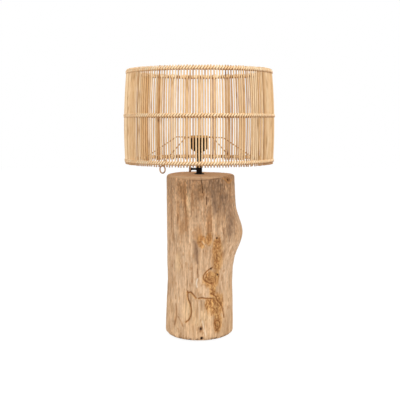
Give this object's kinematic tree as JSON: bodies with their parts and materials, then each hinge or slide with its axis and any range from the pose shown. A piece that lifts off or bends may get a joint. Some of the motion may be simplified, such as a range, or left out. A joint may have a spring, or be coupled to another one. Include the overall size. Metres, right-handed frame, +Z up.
{
  "type": "table lamp",
  "caption": "Table lamp on an upright debarked log, with a telescopic metal stem, a screw lampholder and an open drum shade of upright canes lashed to hoops.",
  "frame": {"origin": "floor under the axis of the shade and stem, the middle of the bounding box's bottom face", "axes": "+Z up along the stem, +X to the right in the picture, where the burl is, +Y to the back, where the cord outlet is"},
  "size_m": [0.353, 0.353, 0.6238],
  "materials": {
    "log_wood": "bare debarked wood",
    "felt": "felt",
    "black_plastic": "matt",
    "dark_metal": "dark brown-black, satin",
    "bronze": "aged bronze",
    "insulator": "matt",
    "brass": "bright",
    "wire_steel": "bare wire, browned",
    "split_cane": "peeled cane, satin",
    "cane": "round cane, matt",
    "loop_cane": "round cane, matt"
  },
  "bodies": {
    "base": {"log_base": "log_wood", "base_felt": "felt", "cord_grommet": "black_plastic", "stem_sleeve": "dark_metal", "base_flange": "dark_metal"},
    "thumb_screw": {"thumb_screw": "bronze"},
    "stem": {"stem_tube": "dark_metal", "lock_nut": "dark_metal", "holder_cap": "dark_metal", "holder_body": "dark_metal", "holder_insert": "insulator", "screw_shell": "brass", "centre_contact": "brass", "terminal_screws": "brass"},
    "clamp": {"clamp_ring": "brass"},
    "shade": {"gimbal_ring": "wire_steel", "spider_arm_1": "wire_steel", "spider_arm_2": "wire_steel", "spider_arm_3": "wire_steel", "spider_arm_4": "wire_steel", "bottom_wire_ring": "wire_steel", "bottom_lashing": "split_cane", "middle_wire_ring": "wire_steel", "middle_lashing": "split_cane", "top_wire_ring": "wire_steel", "top_lashing": "split_cane", "shade_canes": "cane", "cane_loop": "loop_cane"}
  },
  "joints": [
    {"name": "stem_height", "type": "slide", "parent": "base", "child": "stem", "axis": [0, 0, 1], "range_m": [-0.024, 0.06]},
    {"name": "thumb_screw_turn", "type": "hinge", "parent": "base", "child": "thumb_screw", "pos_m": [-0.02, 0, 0.394], "axis": [-1, 0, 0], "range_deg": [0, 720]},
    {"name": "clamp_turn", "type": "hinge", "parent": "stem", "child": "clamp", "pos_m": [0, 0, 0.4706], "axis": [0, 0, 1], "range_deg": [0, 720]},
    {"name": "shade_turn", "type": "hinge", "parent": "stem", "child": "shade", "pos_m": [0, 0, 0.4682], "axis": [0, 0, 1], "continuous": true}
  ]
}
